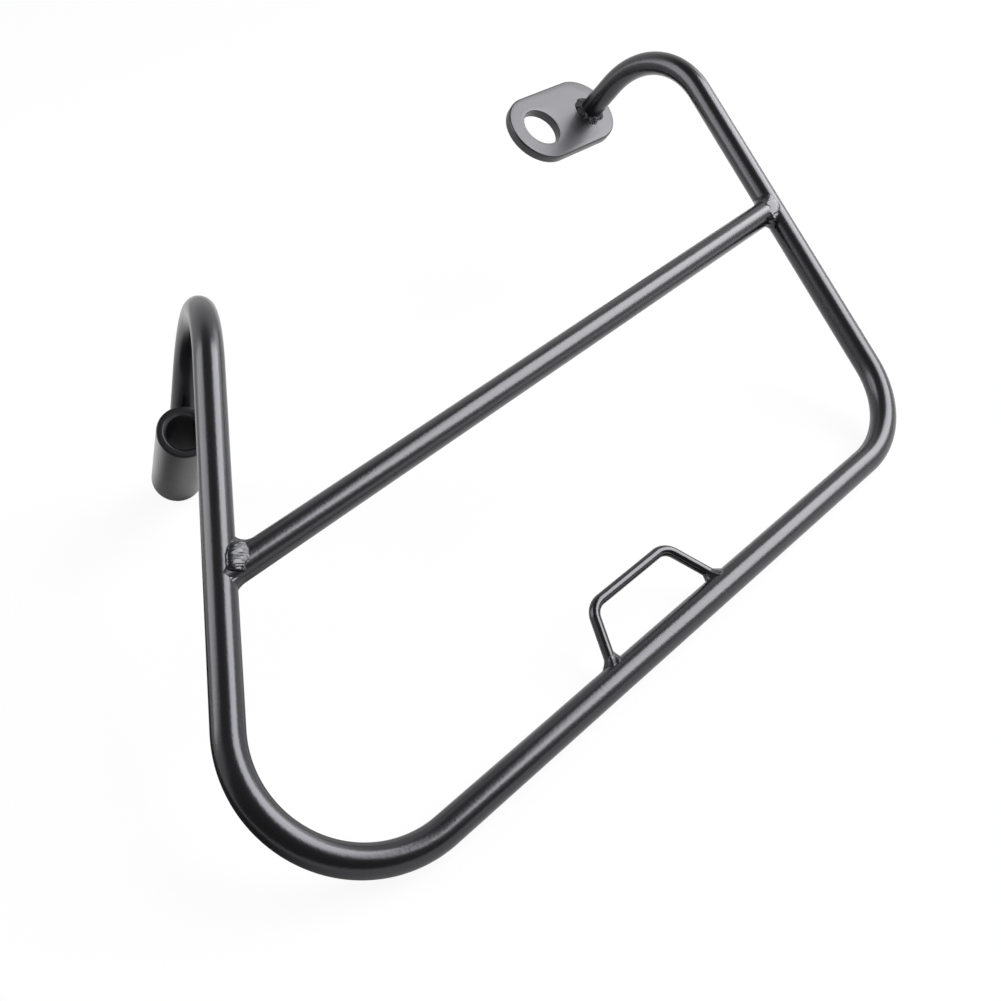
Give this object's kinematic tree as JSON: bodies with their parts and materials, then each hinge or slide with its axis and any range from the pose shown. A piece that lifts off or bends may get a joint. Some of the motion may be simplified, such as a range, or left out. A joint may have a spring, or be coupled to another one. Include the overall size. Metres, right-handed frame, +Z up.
{
  "type": "pannier frame",
  "caption": "Black coated steel side-bag frame for a motorbike: bent round bar hoop with a cross bar, a wire strap loop, a bored mounting sleeve and an obround mounting plate",
  "frame": {"origin": "On the surface that the frame lies on, under the middle of its bounding box.", "axes": "+X along the lower bar towards the mounting plate, +Y away from the lower bar towards the mounting ends, +Z up."},
  "size_m": [0.4216, 0.2671, 0.1324],
  "materials": {
    "black_coat": "satin"
  },
  "bodies": {
    "root": {"hoop_bar": "black_coat", "cross_bar": "black_coat", "strap_loop": "black_coat", "mount_sleeve": "black_coat", "mount_plate": "black_coat", "cross_weld_left": "black_coat", "cross_weld_right": "black_coat", "sleeve_weld": "black_coat", "plate_weld": "black_coat", "strap_weld_left": "black_coat", "strap_weld_right": "black_coat"}
  },
  "joints": []
}
